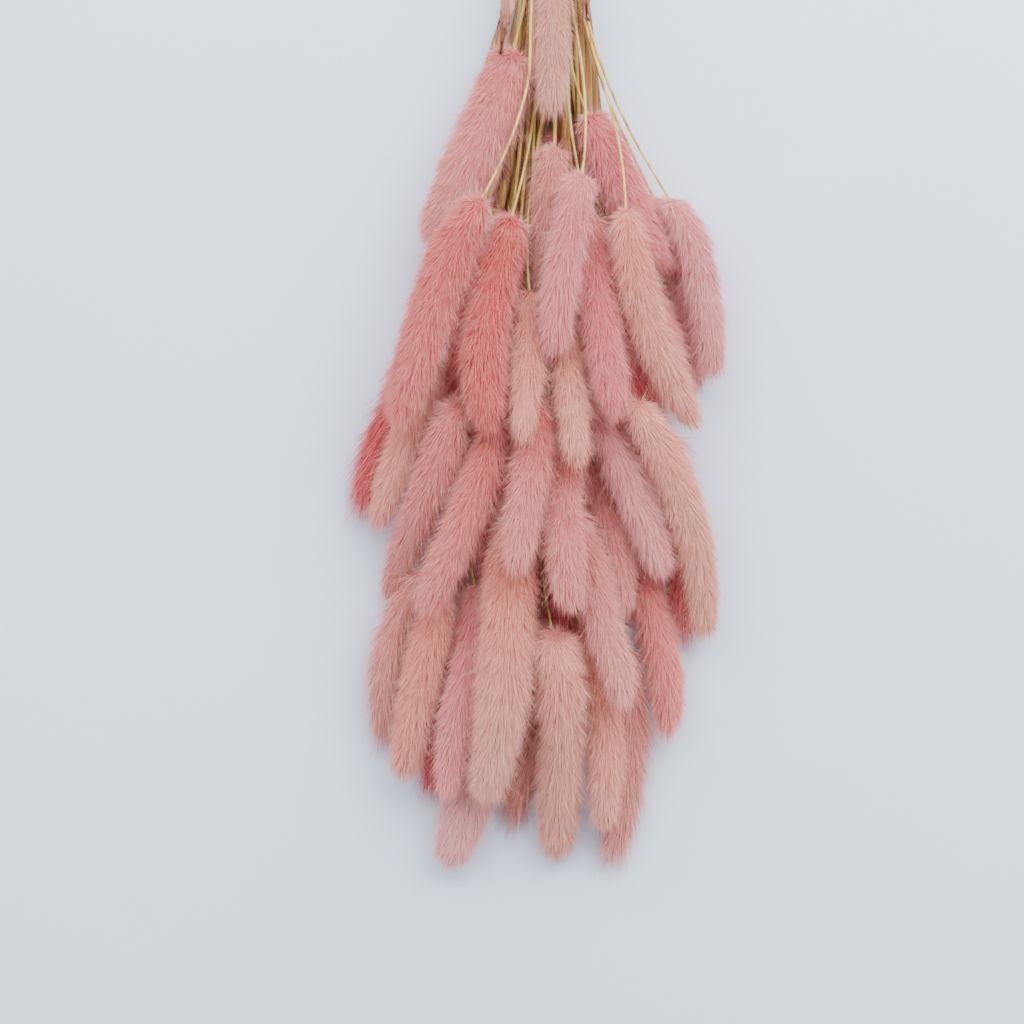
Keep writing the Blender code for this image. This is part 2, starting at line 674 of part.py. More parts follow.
def make_band(laid, leaf_tops, collection):
    """An elastic wound three times round the stems, whose last turn crosses back on top."""
    held = [(stalk["plan"][0, 0], stalk["slot_height"]) for stalk in laid]
    held += [(x, z - STEM_RADIUS) for x, z in leaf_tops]
    slack = STEM_RADIUS + BAND_CLEARANCE - 0.1 * MM + BAND_RADIUS
    _, leaves, lands, _ = BAND_CROSSES_AT
    count = BAND_TURNS * BAND_CORNERS
    points = []
    for k in range(count):
        turn = k / BAND_CORNERS
        raised = BAND_RISE * np.interp(turn, BAND_CROSSES_AT, (0, 1, 1, 0))
        lane = np.interp(turn, (0, leaves, lands, BAND_TURNS), (0, leaves, 0, 0)) - leaves / 2
        angle = 2 * math.pi * (turn + BAND_START)
        out = (math.sin(angle), math.cos(angle))
        x, z = max(held, key=lambda place: place[0] * out[0] + place[1] * out[1])
        x += (slack + raised) * out[0]
        z += (slack + raised) * out[1]
        points.append((x, lane * BAND_PITCH, z))
    band = make_tube("band", points, [BAND_RADIUS] * count, collection, cyclic=True)
    band.data.materials.append(material("band", BAND_TAN, 0.55))
    shade_round(band.data)
    return band


def centre_footprint(pieces):
    """Moves the bunch sideways until its footprint is centred on the origin."""
    corners = []
    graph = bpy.context.evaluated_depsgraph_get()
    for piece in pieces:
        corners += [Vector(corner) for corner in piece.evaluated_get(graph).bound_box]
    low = [min(corner[k] for corner in corners) for k in range(2)]
    high = [max(corner[k] for corner in corners) for k in range(2)]
    middle = Vector(((low[0] + high[0]) / 2, (low[1] + high[1]) / 2, 0))
    for piece in pieces:
        piece.location = -middle


def build():
    clear_scene()
    bunch = new_collection("dried bunny tail grass")
    cutters = new_collection("stems to join")
    laid = lay_stalks()
    pieces = [make_head(stalk, bunch) for stalk in laid]
    pieces += make_stems(laid, bunch, cutters)
    leaf_tops = []
    for name, course, width in LEAVES:
        leaf, tops = make_leaf(name, course, width, laid, bunch)
        pieces.append(leaf)
        leaf_tops += tops
    pieces.append(make_band(laid, leaf_tops, bunch))
    centre_footprint(pieces)


build()
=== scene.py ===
"""The looks of a bunch of dried bunny tail grass, dyed pink, tied and laid down on a table top."""

import json
import math

import bmesh
import bpy
import numpy as np
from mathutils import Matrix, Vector, noise


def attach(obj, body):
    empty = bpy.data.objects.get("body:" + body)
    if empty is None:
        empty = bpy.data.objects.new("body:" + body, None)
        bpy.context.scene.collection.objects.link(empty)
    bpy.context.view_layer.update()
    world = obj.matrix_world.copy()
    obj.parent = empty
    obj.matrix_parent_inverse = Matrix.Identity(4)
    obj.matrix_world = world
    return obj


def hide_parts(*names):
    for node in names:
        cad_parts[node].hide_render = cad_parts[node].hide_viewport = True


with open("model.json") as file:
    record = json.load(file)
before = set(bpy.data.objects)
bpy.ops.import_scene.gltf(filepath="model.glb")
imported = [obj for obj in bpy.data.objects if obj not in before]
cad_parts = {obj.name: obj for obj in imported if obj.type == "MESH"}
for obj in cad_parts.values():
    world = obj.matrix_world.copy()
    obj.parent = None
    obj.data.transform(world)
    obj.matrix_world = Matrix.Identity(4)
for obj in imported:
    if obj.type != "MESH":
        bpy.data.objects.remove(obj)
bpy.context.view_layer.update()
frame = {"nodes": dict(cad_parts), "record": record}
MM = 0.001


# The seed heads: soft spindles of dyed down, each grown on the end of its own stem. A smooth core
# follows the bent middle of the solid head, and closed spikes by the thousand grow from it and
# lean in tufts towards the tip, with fine paler hairs and a few long wisps among them.

# The core
DOWN_DEPTH = 2.1 * MM  # how far it lies inside the solid
LEAST_CORE = 0.6  # of the solid's radius
STATIONS = np.linspace(0, 1, 41)  # along the solid, from the neck to the tip
STATION_REACH = 0.06  # how far from a station a corner still counts for its radius
STATION_BLUR = (0.1, 0.2, 0.4, 0.2, 0.1)
BEND_DEGREE = 4
ROUND_PART = (0.08, 0.88)  # the stations between which the solid isn't closing to an end
NECK_COVER = 0.7 * MM  # how far it reaches up over the stem's collar
NECK_DOME = 0.07  # share of the length over which it rounds off at the neck
TIP_SHORT = 2.6 * MM  # how far it stops before the tip
TIP_DOME = 0.15
TIP_BLUNT = 2.4
LUMP_DEPTH = 0.04  # of the radius
LUMP_LENGTH = 7 * MM
LUMP_SWAY = 1.5  # round the core
LUMP_SHIFT = 2.4  # from one head to the next
CORE_RISE = 0.25 * MM
CORE_SIDES = 14
CORE_RINGS = 26

# How the down grows on it
DOWN_LENGTH = 5.4 * MM
FLOW_STEP = 0.02  # share of the length over which its way is measured
STRAIGHT_NECK = 0.25  # how far it follows the core's middle and not its surface
STRAIGHT_TIP = 0.65  # and how much further it does at the tip
STRAIGHT_FROM, STRAIGHT_OVER = 0.55, 0.4
STOOD_NECK = 1.2  # how far it stands off, next to the depth that it has to fill
STOOD_LESS = 0.3  # and how much less it does at the tip
NECK_STOOD = 0.75  # how much more it stands up round the neck itself
NECK_SHORT = 0.5  # and how much shorter it is
NECK_ROUND = 0.05  # how far the standing down reaches,
END_ROUND = 0.06  # the short down at both ends,
PALE_ROUND = 0.09  # and the paler down round the neck
TIP_TRIMMED = 0.2  # how much shorter it is at the very tip
UNDER_LONGER = 0.6  # and how much longer it is underneath, where it fills the gaps
SIDE_BEGINS = 0.35  # how far up a surface may still face to count as underneath
UNDER_COVER = 0.38  # how thickly it grows there, next to the top
COVER_FADE = 1.5  # how fast that changes up the sides

# The dye's map: across it the place along the head, and up it the place along the hair
MAP_LOW, MAP_HIGH = 0.01, 0.99
OPEN_TONE = 0.15  # where the open down begins; below it, the down gets painted shade
UNDER_DEEPER = 0.9  # how far the down underneath is from the rest: partly less bleached, partly painted shade
CORE_TONE = 0.03  # how far up the core is
CORE_SPREAD = 0.02  # which keeps its faces open on the map


def add(tree, kind, inputs=(), **settings):
    """A new node with its settings, and with its inputs set or linked by name or number."""
    node = tree.nodes.new(kind)
    for name, value in settings.items():
        setattr(node, name, value)
    for key, value in dict(inputs).items():
        socket = node.inputs[key]
        if isinstance(value, bpy.types.NodeSocket):
            tree.links.new(value, socket)
        else:
            socket.default_value = value
    return node


def vectors_of(items, name, kind=float):
    """A named vector of every item, as an array with a row for each."""
    values = np.empty(3 * len(items), kind)
    items.foreach_get(name, values)
    return values.reshape(-1, 3)


def unit(vectors):
    return vectors / np.maximum(np.linalg.norm(vectors, axis=-1, keepdims=True), 1e-9)


def around(distance, reach):
    """1 at a place, fading towards 0 beyond its reach."""
    return np.exp(-((distance / reach) ** 2))


def middle_and_radius(node):
    """The bent middle of a solid head and its radius, at the stations, with the ways round it."""
    corners = vectors_of(frame["nodes"][node].data.vertices, "co")
    corners = np.unique(corners.round(6), axis=0)
    centre = corners.mean(axis=0)
    axis = np.linalg.svd(corners - centre)[2][0]
    axis *= -np.sign(axis[1])
    side = np.cross(axis, (0, 0, 1))
    side /= np.linalg.norm(side)
    up = np.cross(side, axis)
    run, across, above = ((corners - centre) @ way for way in (axis, side, up))
    share = (run - run.min()) / np.ptp(run)
    bend = [np.polyval(np.polyfit(share, offset, BEND_DEGREE), STATIONS) for offset in (across, above)]
    off_middle = np.hypot(
        across - np.interp(share, STATIONS, bend[0]), above - np.interp(share, STATIONS, bend[1])
    )
    radius = [off_middle[np.abs(share - at) < STATION_REACH].max(initial=0) for at in STATIONS]
    blurred = np.pad(np.array(radius), len(STATION_BLUR) // 2, mode="edge")
    radius = np.convolve(blurred, STATION_BLUR, mode="valid")
    middle = centre + np.outer(run.min() + STATIONS * np.ptp(run), axis)
    middle += np.outer(bend[0], side) + np.outer(bend[1], up)
    return middle, radius, side, up


def core_form(node):
    """A core's middle, its surface and the depth of the down on it, as functions of the share of
    its length and, for the surface, of the angle round it."""
    middle, radius, side, up = middle_and_radius(node)
    length = np.linalg.norm(np.diff(middle, axis=0), axis=1).sum()
    first = -NECK_COVER / length
    last = 1 - TIP_SHORT / length
    core_radius = np.maximum(radius - DOWN_DEPTH, LEAST_CORE * radius)
    shift = LUMP_SHIFT * int(node[-2:])

    def middle_at(share):
        at = first + (last - first) * share
        point = np.stack([np.interp(at, STATIONS, middle[:, k]) for k in range(3)], axis=-1)
        return point + np.minimum(at, 0)[:, None] * (middle[1] - middle[0]) / STATIONS[1]

    def surface_at(share, angle):
        at = first + (last - first) * share
        dome = np.sqrt(1 - (1 - np.minimum(share / NECK_DOME, 1)) ** 2)
        dome = dome * np.sqrt(1 - (np.maximum(share - 1 + TIP_DOME, 0) / TIP_DOME) ** TIP_BLUNT)
        reach = np.interp(np.clip(at, *ROUND_PART), STATIONS, core_radius) * dome
        turns = share * length / LUMP_LENGTH * 2 * math.pi
        reach = reach * (1 + LUMP_DEPTH * np.sin(turns + shift + LUMP_SWAY * np.sin(angle + shift)))
        out = np.cos(angle)[:, None] * side + np.sin(angle)[:, None] * up
        point = middle_at(share) + reach[:, None] * out
        point[:, 2] = np.maximum(point[:, 2], CORE_RISE)
        return point

    def depth_at(share):
        return np.interp(share, STATIONS, radius - core_radius)

    return middle_at, surface_at, depth_at


def unit_ball():
    """The mesh of a ball of rings, from which every core is drawn out."""
    tree = bpy.data.node_groups.new("ball", "GeometryNodeTree")
    tree.interface.new_socket("Geometry", in_out="OUTPUT", socket_type="NodeSocketGeometry")
    ball = add(tree, "GeometryNodeMeshUVSphere",
               {"Segments": CORE_SIDES, "Rings": CORE_RINGS, "Radius": 1.0})
    add(tree, "NodeGroupOutput", {0: ball.outputs["Mesh"]})
    holder = bpy.data.objects.new("ball", bpy.data.meshes.new("empty"))
    bpy.context.scene.collection.objects.link(holder)
    holder.modifiers.new("ball", "NODES").node_group = tree
    mesh = bpy.data.meshes.new_from_object(holder.evaluated_get(bpy.context.evaluated_depsgraph_get()))
    bpy.data.objects.remove(holder)
    return mesh


def tell_the_down(mesh, share, normal, depth, flow):
    """Stores at each point of a core which way the down runs there, and how much of it grows."""
    under = np.clip((SIDE_BEGINS - normal[:, 2]) / (1 + SIDE_BEGINS), 0, 1)
    stood = depth / DOWN_LENGTH * (STOOD_NECK - STOOD_LESS * share)
    short = 1 - NECK_SHORT * around(share, END_ROUND) - TIP_TRIMMED * around(1 - share, END_ROUND)
    facing_up = np.clip(normal[:, 2] * COVER_FADE + 1, 0, 1)
    values = {
        "along": share,
        "lift": stood + NECK_STOOD * around(share, NECK_ROUND),
        "short": short * (1 + UNDER_LONGER * under),
        "cover": (UNDER_COVER + (1 - UNDER_COVER) * facing_up) / short,
        "under": under,
        "neck": around(share, PALE_ROUND),
    }
    for name, value in values.items():
        mesh.attributes.new(name, "FLOAT", "POINT").data.foreach_set("value", value)
    mesh.attributes.new("flow", "FLOAT_VECTOR", "POINT").data.foreach_set("vector", flow.ravel())
    vertex = np.empty(len(mesh.loops), np.int32)
    mesh.loops.foreach_get("vertex_index", vertex)
    for name in [layer.name for layer in mesh.uv_layers]:
        mesh.uv_layers.remove(mesh.uv_layers[name])
    # darker underneath: partly the less bleached down, partly painted shade between the heads
    tone = OPEN_TONE + (MAP_HIGH - OPEN_TONE) * share - UNDER_DEEPER * under
    tone = tone.clip(MAP_LOW, MAP_HIGH)[vertex]
    spots = np.stack([tone, CORE_TONE + CORE_SPREAD * (np.arange(len(vertex)) % 2)], axis=1)
    mesh.uv_layers.new(name="OFBake").data.foreach_set("uv", spots.ravel())


def make_core(node, ball):
    middle_at, surface_at, depth_at = core_form(node)
    mesh = ball.copy()
    mesh.name = node
    ball_points = vectors_of(mesh.vertices, "co")
    share = np.arccos(ball_points[:, 2].clip(-1, 1)) / math.pi
    angle = np.arctan2(ball_points[:, 1], ball_points[:, 0])
    points = surface_at(share, angle)
    mesh.vertices.foreach_set("co", points.ravel())
    mesh.update()
    corners = vectors_of(mesh.loop_triangles, "vertices", np.int32)
    a, b, c = (points[corners[:, k]] for k in range(3))
    if (np.cross(a, b) * c).sum() < 0:
        mesh.flip_normals()
    normal = vectors_of(mesh.vertex_normals, "vector")

    near, far = np.clip(share - FLOW_STEP, 0, 1), np.clip(share + FLOW_STEP, 0, 1)
    along_surface = unit(surface_at(far, angle) - surface_at(near, angle))
    along_middle = unit(middle_at(far) - middle_at(near))
    straight = STRAIGHT_NECK + STRAIGHT_TIP * np.clip((share - STRAIGHT_FROM) / STRAIGHT_OVER, 0, 1)
    flow = unit(along_surface * (1 - straight)[:, None] + along_middle * straight[:, None])
    tell_the_down(mesh, share, normal, depth_at(share), flow)
    mesh.shade_smooth()
    core = bpy.data.objects.new(f"{node}_down", mesh)
    bpy.context.scene.collection.objects.link(core)
    return core


# The kinds of hair: how many grow to a square metre, how wide and how long they are next to the
# down's length, how far they stray and lean out, how they bend, which tones they have from the
# root to the point, and how much the painted shade underneath darkens them.
HAIRS = (
    {"seed": 10, "density": 3.7e6, "width": 0.105 * MM, "length": 1.15, "stray": 0.2, "lean": 0.9,
     "segments": 1, "bend": 0.0, "root": 0.02, "point": 0.6, "deeper": 1.0},
    {"seed": 20, "density": 1.6e6, "width": 0.04 * MM, "length": 1.25, "stray": 0.4, "lean": 2.4,
     "segments": 1, "bend": 0.0, "root": 0.55, "point": 0.95, "deeper": 0.2},
    {"seed": 30, "density": 0.15e6, "width": 0.045 * MM, "length": 1.9, "stray": 0.6, "lean": 1.9,
     "segments": 3, "bend": 55.0, "root": 0.3, "point": 0.9, "deeper": 0.5},
)
SHORTEST = 0.5  # next to the longest of its kind
THINNEST, THICKEST = 0.65, 1.25  # next to its kind's width
TUFTS = 210.0  # to a metre
TUFTED = 0.22  # how far the down parts into tufts
LEAST_RISE = 0.05 * MM  # nothing of it comes lower than this
POINT_RISE = 0.45 * MM  # and a hair that leans down ends at about this height
TONE_CHANCE = 0.06
NECK_PALER = 0.5  # how much paler it is round the neck
MAP_WIDTH = 0.004  # of a hair on the dye's map


def down_tree():
    tree = bpy.data.node_groups.new("down", "GeometryNodeTree")
    sockets = tree.interface
    sockets.new_socket("Geometry", in_out="INPUT", socket_type="NodeSocketGeometry")
    for name, kind in (("Seed", "Int"), ("Length", "Float"), ("Thickness", "Float"),
                       ("Material", "Material")):
        sockets.new_socket(name, in_out="INPUT", socket_type=f"NodeSocket{kind}")
    sockets.new_socket("Geometry", in_out="OUTPUT", socket_type="NodeSocketGeometry")
    given = tree.nodes.new("NodeGroupInput")

    def attribute(name, kind="FLOAT"):
        return add(tree, "GeometryNodeInputNamedAttribute", {"Name": name}, data_type=kind).outputs[0]

    def stored(geometry, name, value, kind, domain):
        node = add(tree, "GeometryNodeStoreNamedAttribute",
                   {"Geometry": geometry, "Name": name, "Value": value}, data_type=kind, domain=domain)
        return node.outputs[0]

    def maths(operation, a, b):
        return add(tree, "ShaderNodeMath", {0: a, 1: b}, operation=operation).outputs[0]

    def vectors(operation, a, b):
        return add(tree, "ShaderNodeVectorMath", {0: a, 1: b}, operation=operation).outputs[0]

    def scaled(vector, share):
        return add(tree, "ShaderNodeVectorMath", {0: vector, "Scale": share}, operation="SCALE").outputs[0]

    def joined_up(*parts):
        return add(tree, "ShaderNodeCombineXYZ", dict(enumerate(parts))).outputs[0]

    def split(vector):
        return add(tree, "ShaderNodeSeparateXYZ", {0: vector}).outputs

    def chance(low, high, seed):
        node = add(tree, "FunctionNodeRandomValue", data_type="FLOAT")
        node.inputs[2].default_value = low
        node.inputs[3].default_value = high
        tree.links.new(maths("ADD", given.outputs["Seed"], seed), node.inputs["Seed"])
        return node.outputs[1]

    def strays(stray, seed):
        node = add(tree, "FunctionNodeRandomValue", data_type="FLOAT_VECTOR")
        node.inputs[0].default_value = (-stray,) * 3
        node.inputs[1].default_value = (stray,) * 3
        tree.links.new(maths("ADD", given.outputs["Seed"], seed), node.inputs["Seed"])
        return node.outputs[0]

    def spike(segments, bend, root, point):
        """One hair along Z, with its own stretch of the tones from root to point."""
        cone = add(tree, "GeometryNodeMeshCone",
                   {"Vertices": 3, "Side Segments": segments, "Radius Top": 0.0,
                    "Radius Bottom": 1.0, "Depth": 1.0})
        place = split(add(tree, "GeometryNodeInputPosition").outputs[0])
        curve = maths("MULTIPLY", maths("POWER", place[2], 2.0), bend)
        bent = add(tree, "GeometryNodeSetPosition",
                   {"Geometry": cone.outputs["Mesh"], "Offset": joined_up(curve)})
        tone = maths("ADD", maths("MULTIPLY", place[2], point - root), root)
        flat = joined_up(maths("MULTIPLY", place[0], MAP_WIDTH), tone)
        return stored(bent.outputs[0], "OFBake", flat, "FLOAT2", "CORNER")

    def hairs(seed, density, width, length, stray, lean, segments, bend, root, point, deeper):
        """One kind of hair all over the core."""
        thick = maths("MULTIPLY", attribute("cover"), density)
        thick = maths("MULTIPLY", thick, given.outputs["Thickness"])
        spread = add(tree, "GeometryNodeDistributePointsOnFaces",
                     {"Mesh": ground, "Density": thick, "Seed": maths("ADD", given.outputs["Seed"], seed)})
        where = add(tree, "GeometryNodeInputPosition").outputs[0]
        parted = add(tree, "ShaderNodeTexNoise", {"Vector": where, "Scale": TUFTS, "Detail": 1.0})
        tuft = vectors("SUBTRACT", parted.outputs["Color"], (0.5, 0.5, 0.5))
        outward = scaled(spread.outputs["Normal"], maths("MULTIPLY", attribute("lift"), lean))
        way = vectors("ADD", attribute("flow", "FLOAT_VECTOR"), outward)
        way = vectors("ADD", way, scaled(tuft, TUFTED))
        way = vectors("ADD", way, strays(stray, seed + 1))
        way = split(add(tree, "ShaderNodeVectorMath", {0: way}, operation="NORMALIZE").outputs[0])

        size = maths("MULTIPLY", given.outputs["Length"], chance(SHORTEST, 1.0, seed + 2))
        size = maths("MULTIPLY", size, maths("MULTIPLY", attribute("short"), length))
        size = maths("MULTIPLY", size, maths("ADD", parted.outputs[0], 0.5))
        down_to = maths("DIVIDE", maths("SUBTRACT", POINT_RISE, split(where)[2]), size)
        way = joined_up(way[0], way[1], maths("MAXIMUM", way[2], down_to))
        roll = add(tree, "FunctionNodeAxisAngleToRotation",
                   {"Axis": (0, 0, 1), "Angle": chance(0.0, 2 * math.pi, seed + 3)})
        turned = add(tree, "FunctionNodeAlignRotationToVector",
                     {"Rotation": roll.outputs[0], "Vector": way}, axis="Z")
        wide = chance(THINNEST * width, THICKEST * width, seed + 4)
        placed = add(tree, "GeometryNodeInstanceOnPoints",
                     {"Points": spread.outputs["Points"], "Instance": spike(segments, bend, root, point),
                      "Rotation": turned.outputs[0], "Scale": joined_up(wide, wide, size)})

        shade = maths("ADD", maths("MULTIPLY", attribute("along"), MAP_HIGH - OPEN_TONE), OPEN_TONE)
        shade = maths("ADD", shade, chance(-TONE_CHANCE, TONE_CHANCE, seed + 5))
        # darker underneath: partly the less bleached down, partly painted shade between the heads
        shade = maths("SUBTRACT", shade, maths("MULTIPLY", attribute("under"), UNDER_DEEPER * deeper))
        shade = add(tree, "ShaderNodeClamp", {0: shade, 1: MAP_LOW, 2: MAP_HIGH}).outputs[0]
        toned = stored(placed.outputs[0], "shade", shade, "FLOAT", "INSTANCE")
        paler = maths("MULTIPLY", attribute("neck"), NECK_PALER)
        toned = stored(toned, "paler", paler, "FLOAT", "INSTANCE")
        real = add(tree, "GeometryNodeRealizeInstances", {"Geometry": toned}).outputs[0]
        moved = vectors("ADD", attribute("OFBake", "FLOAT_VECTOR"),
                        joined_up(attribute("shade"), attribute("paler")))
        moved = vectors("MINIMUM", moved, (MAP_HIGH, MAP_HIGH, 0.0))
        return stored(real, "OFBake", moved, "FLOAT2", "CORNER")

    facing = add(tree, "GeometryNodeInputNormal").outputs[0]
    ground = stored(given.outputs["Geometry"], "ground", facing, "FLOAT_VECTOR", "POINT")
    joined = add(tree, "GeometryNodeJoinGeometry")
    tree.links.new(ground, joined.inputs[0])
    for kind in HAIRS:
        tree.links.new(hairs(**kind), joined.inputs[0])
    reached = split(add(tree, "GeometryNodeInputPosition").outputs[0])
    above = joined_up(reached[0], reached[1], maths("MAXIMUM", reached[2], LEAST_RISE))
    lifted = add(tree, "GeometryNodeSetPosition", {"Geometry": joined.outputs[0], "Position": above})
    soft = add(tree, "GeometryNodeSetMeshNormal",
               {"Mesh": lifted.outputs[0], "Custom Normal": attribute("ground", "FLOAT_VECTOR")},
               mode="FREE", domain="POINT")
    finished = add(tree, "GeometryNodeSetMaterial",
                   {"Geometry": soft.outputs[0], "Material": given.outputs["Material"]})
    add(tree, "NodeGroupOutput", {0: finished.outputs[0]})
    return tree


def grow_down(core, tree, values):
    """Turns a core into a plain mesh of itself and the down that the tree grows on it."""
    modifier = core.modifiers.new(tree.name, "NODES")
    modifier.node_group = tree
    names = {item.name: item.identifier for item in tree.interface.items_tree if item.in_out == "INPUT"}
    for name, value in values.items():
        modifier[names[name]] = value
    core.update_tag()
    graph = bpy.context.evaluated_depsgraph_get()
    mesh = bpy.data.meshes.new_from_object(core.evaluated_get(graph))
    core.modifiers.clear()
    core.data = mesh


# The dyes, each with its deep colour and its washed-out one
DYES = {
    "rose": ((0.88, 0.16, 0.19), (0.96, 0.45, 0.47)),
    "salmon": ((0.83, 0.11, 0.11), (0.96, 0.46, 0.43)),
    "peach": ((0.92, 0.26, 0.17), (0.97, 0.54, 0.42)),
    "coral": ((0.92, 0.16, 0.16), (0.97, 0.37, 0.35)),
    "blush": ((0.92, 0.26, 0.31), (0.97, 0.54, 0.56)),
    "dusty": ((0.80, 0.22, 0.19), (0.91, 0.46, 0.38)),
    "wine": ((0.84, 0.08, 0.11), (0.92, 0.24, 0.26)),
}
WASHES_OUT = (0.2, 0.9)  # from where on the head to where
CREVICE_SHADE = (0.78, 0.05, 0.08)  # painted shade: the crimson of the shade between the heads, mixed into the down underneath
# how much of that painted shade the down underneath gets
CREVICE_SHADE_SHARE = 0.9
DARKEST, LIGHTEST = 0.92, 1.06  # of the hairs
ROOT_SHADE = 0.8
ROOT_REACH = 0.55  # of the hair
BLEACHED = (0.97, 0.76, 0.68)  # the points of the hairs
BLEACHED_FROM = 0.1
BLEACHED_BY = 0.7
LET_THROUGH = 0.4  # share of the light that passes through the down


def mapped(tree, value, from_low, from_high, to_low, to_high):
    inputs = {0: value, 1: from_low, 2: from_high, 3: to_low, 4: to_high}
    return add(tree, "ShaderNodeMapRange", inputs).outputs[0]


def blended(tree, share, one, other):
    """One colour turning into another by a share."""
    return add(tree, "ShaderNodeMix", {0: share, 6: one, 7: other}, data_type="RGBA").outputs[2]


def dye_group():
    """The dye's colour: from the neck to the tip as far as each has washed out, deep at the roots
    of the hairs and bleached at their points, and mixed with a crimson painted shade underneath."""
    tree = bpy.data.node_groups.new("dyed down", "ShaderNodeTree")
    for name in ("Deep", "Washed out"):
        tree.interface.new_socket(name, in_out="INPUT", socket_type="NodeSocketColor")
    tree.interface.new_socket("Colour", in_out="OUTPUT", socket_type="NodeSocketColor")
    given = tree.nodes.new("NodeGroupInput")
    spot = add(tree, "ShaderNodeUVMap", uv_map="OFBake").outputs[0]
    along_head, along_hair = add(tree, "ShaderNodeSeparateXYZ", {0: spot}).outputs[:2]
    washed = [add(tree, "ShaderNodeAttribute", attribute_name=f"washed at the {end}").outputs["Fac"]
              for end in ("neck", "tip")]
    fade = mapped(tree, along_head, *WASHES_OUT, *washed)
    dyed = blended(tree, fade, given.outputs["Deep"], given.outputs["Washed out"])
    # painted shade: the down underneath takes on the crimson of the shade between the heads
    run = mapped(tree, along_head, 0.0, OPEN_TONE, CREVICE_SHADE_SHARE, 0.0)
    shade_painted = blended(tree, run, dyed, (*CREVICE_SHADE, 1))
    fine = add(tree, "ShaderNodeTexNoise",
               {"W": along_head, "Scale": 70.0, "Detail": 3.0, "Roughness": 0.8}, noise_dimensions="1D")
    uneven = mapped(tree, fine.outputs[0], 0.3, 0.7, DARKEST, LIGHTEST)
    deep = mapped(tree, along_hair, 0.0, ROOT_REACH, ROOT_SHADE, 1.0)
    gain = add(tree, "ShaderNodeMath", {0: uneven, 1: deep}, operation="MULTIPLY").outputs[0]
    toned = add(tree, "ShaderNodeHueSaturation", {"Color": shade_painted, "Value": gain}).outputs[0]
    bleach = mapped(tree, along_hair, BLEACHED_FROM, 1.0, 0.0, BLEACHED_BY)
    pale = blended(tree, bleach, toned, (*BLEACHED, 1))
    add(tree, "NodeGroupOutput", {0: pale})
    return tree


def dyed_material(name, group, deep, washed_out):
    made = bpy.data.materials.new(f"{name} down")
    made.use_nodes = True
    tree = made.node_tree
    tree.nodes.clear()
    dye = add(tree, "ShaderNodeGroup", node_tree=group)
    dye.inputs["Deep"].default_value = (*deep, 1)
    dye.inputs["Washed out"].default_value = (*washed_out, 1)
    matt = add(tree, "ShaderNodeBsdfPrincipled",
               {"Base Color": dye.outputs[0], "Roughness": 0.85, "Specular IOR Level": 0.15})
    through = add(tree, "ShaderNodeBsdfTranslucent", {"Color": dye.outputs[0]})
    hair = add(tree, "ShaderNodeMixShader", {0: LET_THROUGH, 1: matt.outputs[0], 2: through.outputs[0]})
    add(tree, "ShaderNodeOutputMaterial", {"Surface": hair.outputs[0]})
    return made


# How far the dye has washed out at the neck and at the tip, on the heads that differ from the rest, with
# painted light on some
WASHED_OUT_AND_PAINTED_LIGHT = {
    "head_09": (0.5, 0.85),
    "head_10": (0.3, 0.6),
    "head_11": (0.4, 0.85),
    "head_20": (1.0, 1.0),
    "head_22": (0.2, 0.6),
    "head_23": (0.1, 0.85),
    "head_24": (0.6, 1.0),
    # painted light: paler, against the shade this head lies in
    "head_25": (0.4, 0.8),
    "head_26": (0.5, 0.95),
    "head_27": (0.1, 1.0),
    "head_30": (0.7, 1.0),
    # painted light: paler, against the shade this head lies in
    "head_35": (0.7, 1.0),
    "head_36": (0.1, 0.5),
    "head_37": (0.15, 0.75),
    "head_38": (0.9, 1.0),
    "head_39": (0.45, 0.8),
    "head_40": (0.2, 0.5),
    "head_41": (0.4, 0.9),
    "head_42": (0.7, 1.0),
    "head_43": (0.1, 0.35),
    "head_44": (0.9, 1.0),
    "head_45": (0.4, 0.85),
    "head_47": (0.0, 0.0),
    "head_48": (0.05, 0.3),
    "head_49": (0.3, 0.15),
}
OPEN_WASHED_OUT = (0.3, 0.7)  # of the others
# painted shade: the heads under the others stay deep, which darkens the gaps between those above
BURIED_PAINTED_SHADE = (0.0, 0.25)
BURIED = 19  # the lowest heads, which lie mostly or wholly under the others
BURIED_THICKNESS = 0.42
BURIED_LONGER = 1.6  # their down fills the gaps between those above

ball = unit_ball()
tree = down_tree()
group = dye_group()
downs = {name: dyed_material(name, group, *colours) for name, colours in DYES.items()}
slots = {entry["node"]: entry["material_slot"] for entry in frame["record"]["subparts"]}
heads = sorted(node for node in frame["nodes"] if node.startswith("head_"))
for number, node in enumerate(heads):
    down = downs[slots[node].removesuffix("_down")]
    piece = make_core(node, ball)
    piece.data.materials.append(down)
    buried = number < BURIED
    thickness, longer = (BURIED_THICKNESS, BURIED_LONGER) if buried else (1.0, 1.0)
    washed = WASHED_OUT_AND_PAINTED_LIGHT.get(node, BURIED_PAINTED_SHADE if buried else OPEN_WASHED_OUT)
    grow_down(piece, tree, {"Seed": 100 * number, "Length": DOWN_LENGTH * longer,
                            "Thickness": thickness, "Material": down})
    for end, share in zip(("neck", "tip"), washed):
        layer = piece.data.attributes.new(f"washed at the {end}", "FLOAT", "POINT")
        layer.data.foreach_set("value", np.full(len(piece.data.vertices), share))
    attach(piece, "root")
    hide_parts(node)


# The stems: dried straw, thin and a little bent, each run into its head and pressed against the
# others by the band. The lowest rows still wear brown dry sheaths between the band and the heads,
# which close the bundle there.
# Each row is also browner the lower it lies and paler at the top, as painted shade and painted light.

RIM_ANGLE = math.radians(75)  # edges sharper than this, as round a cut end, stay sharp
SAME_POINT = 2e-6
FLAT_WITHIN, SQUARE_WITHIN = 0.5, 3.0  # of two facets that make one face, in radians
TABLE_CLEAR = 0.1 * MM
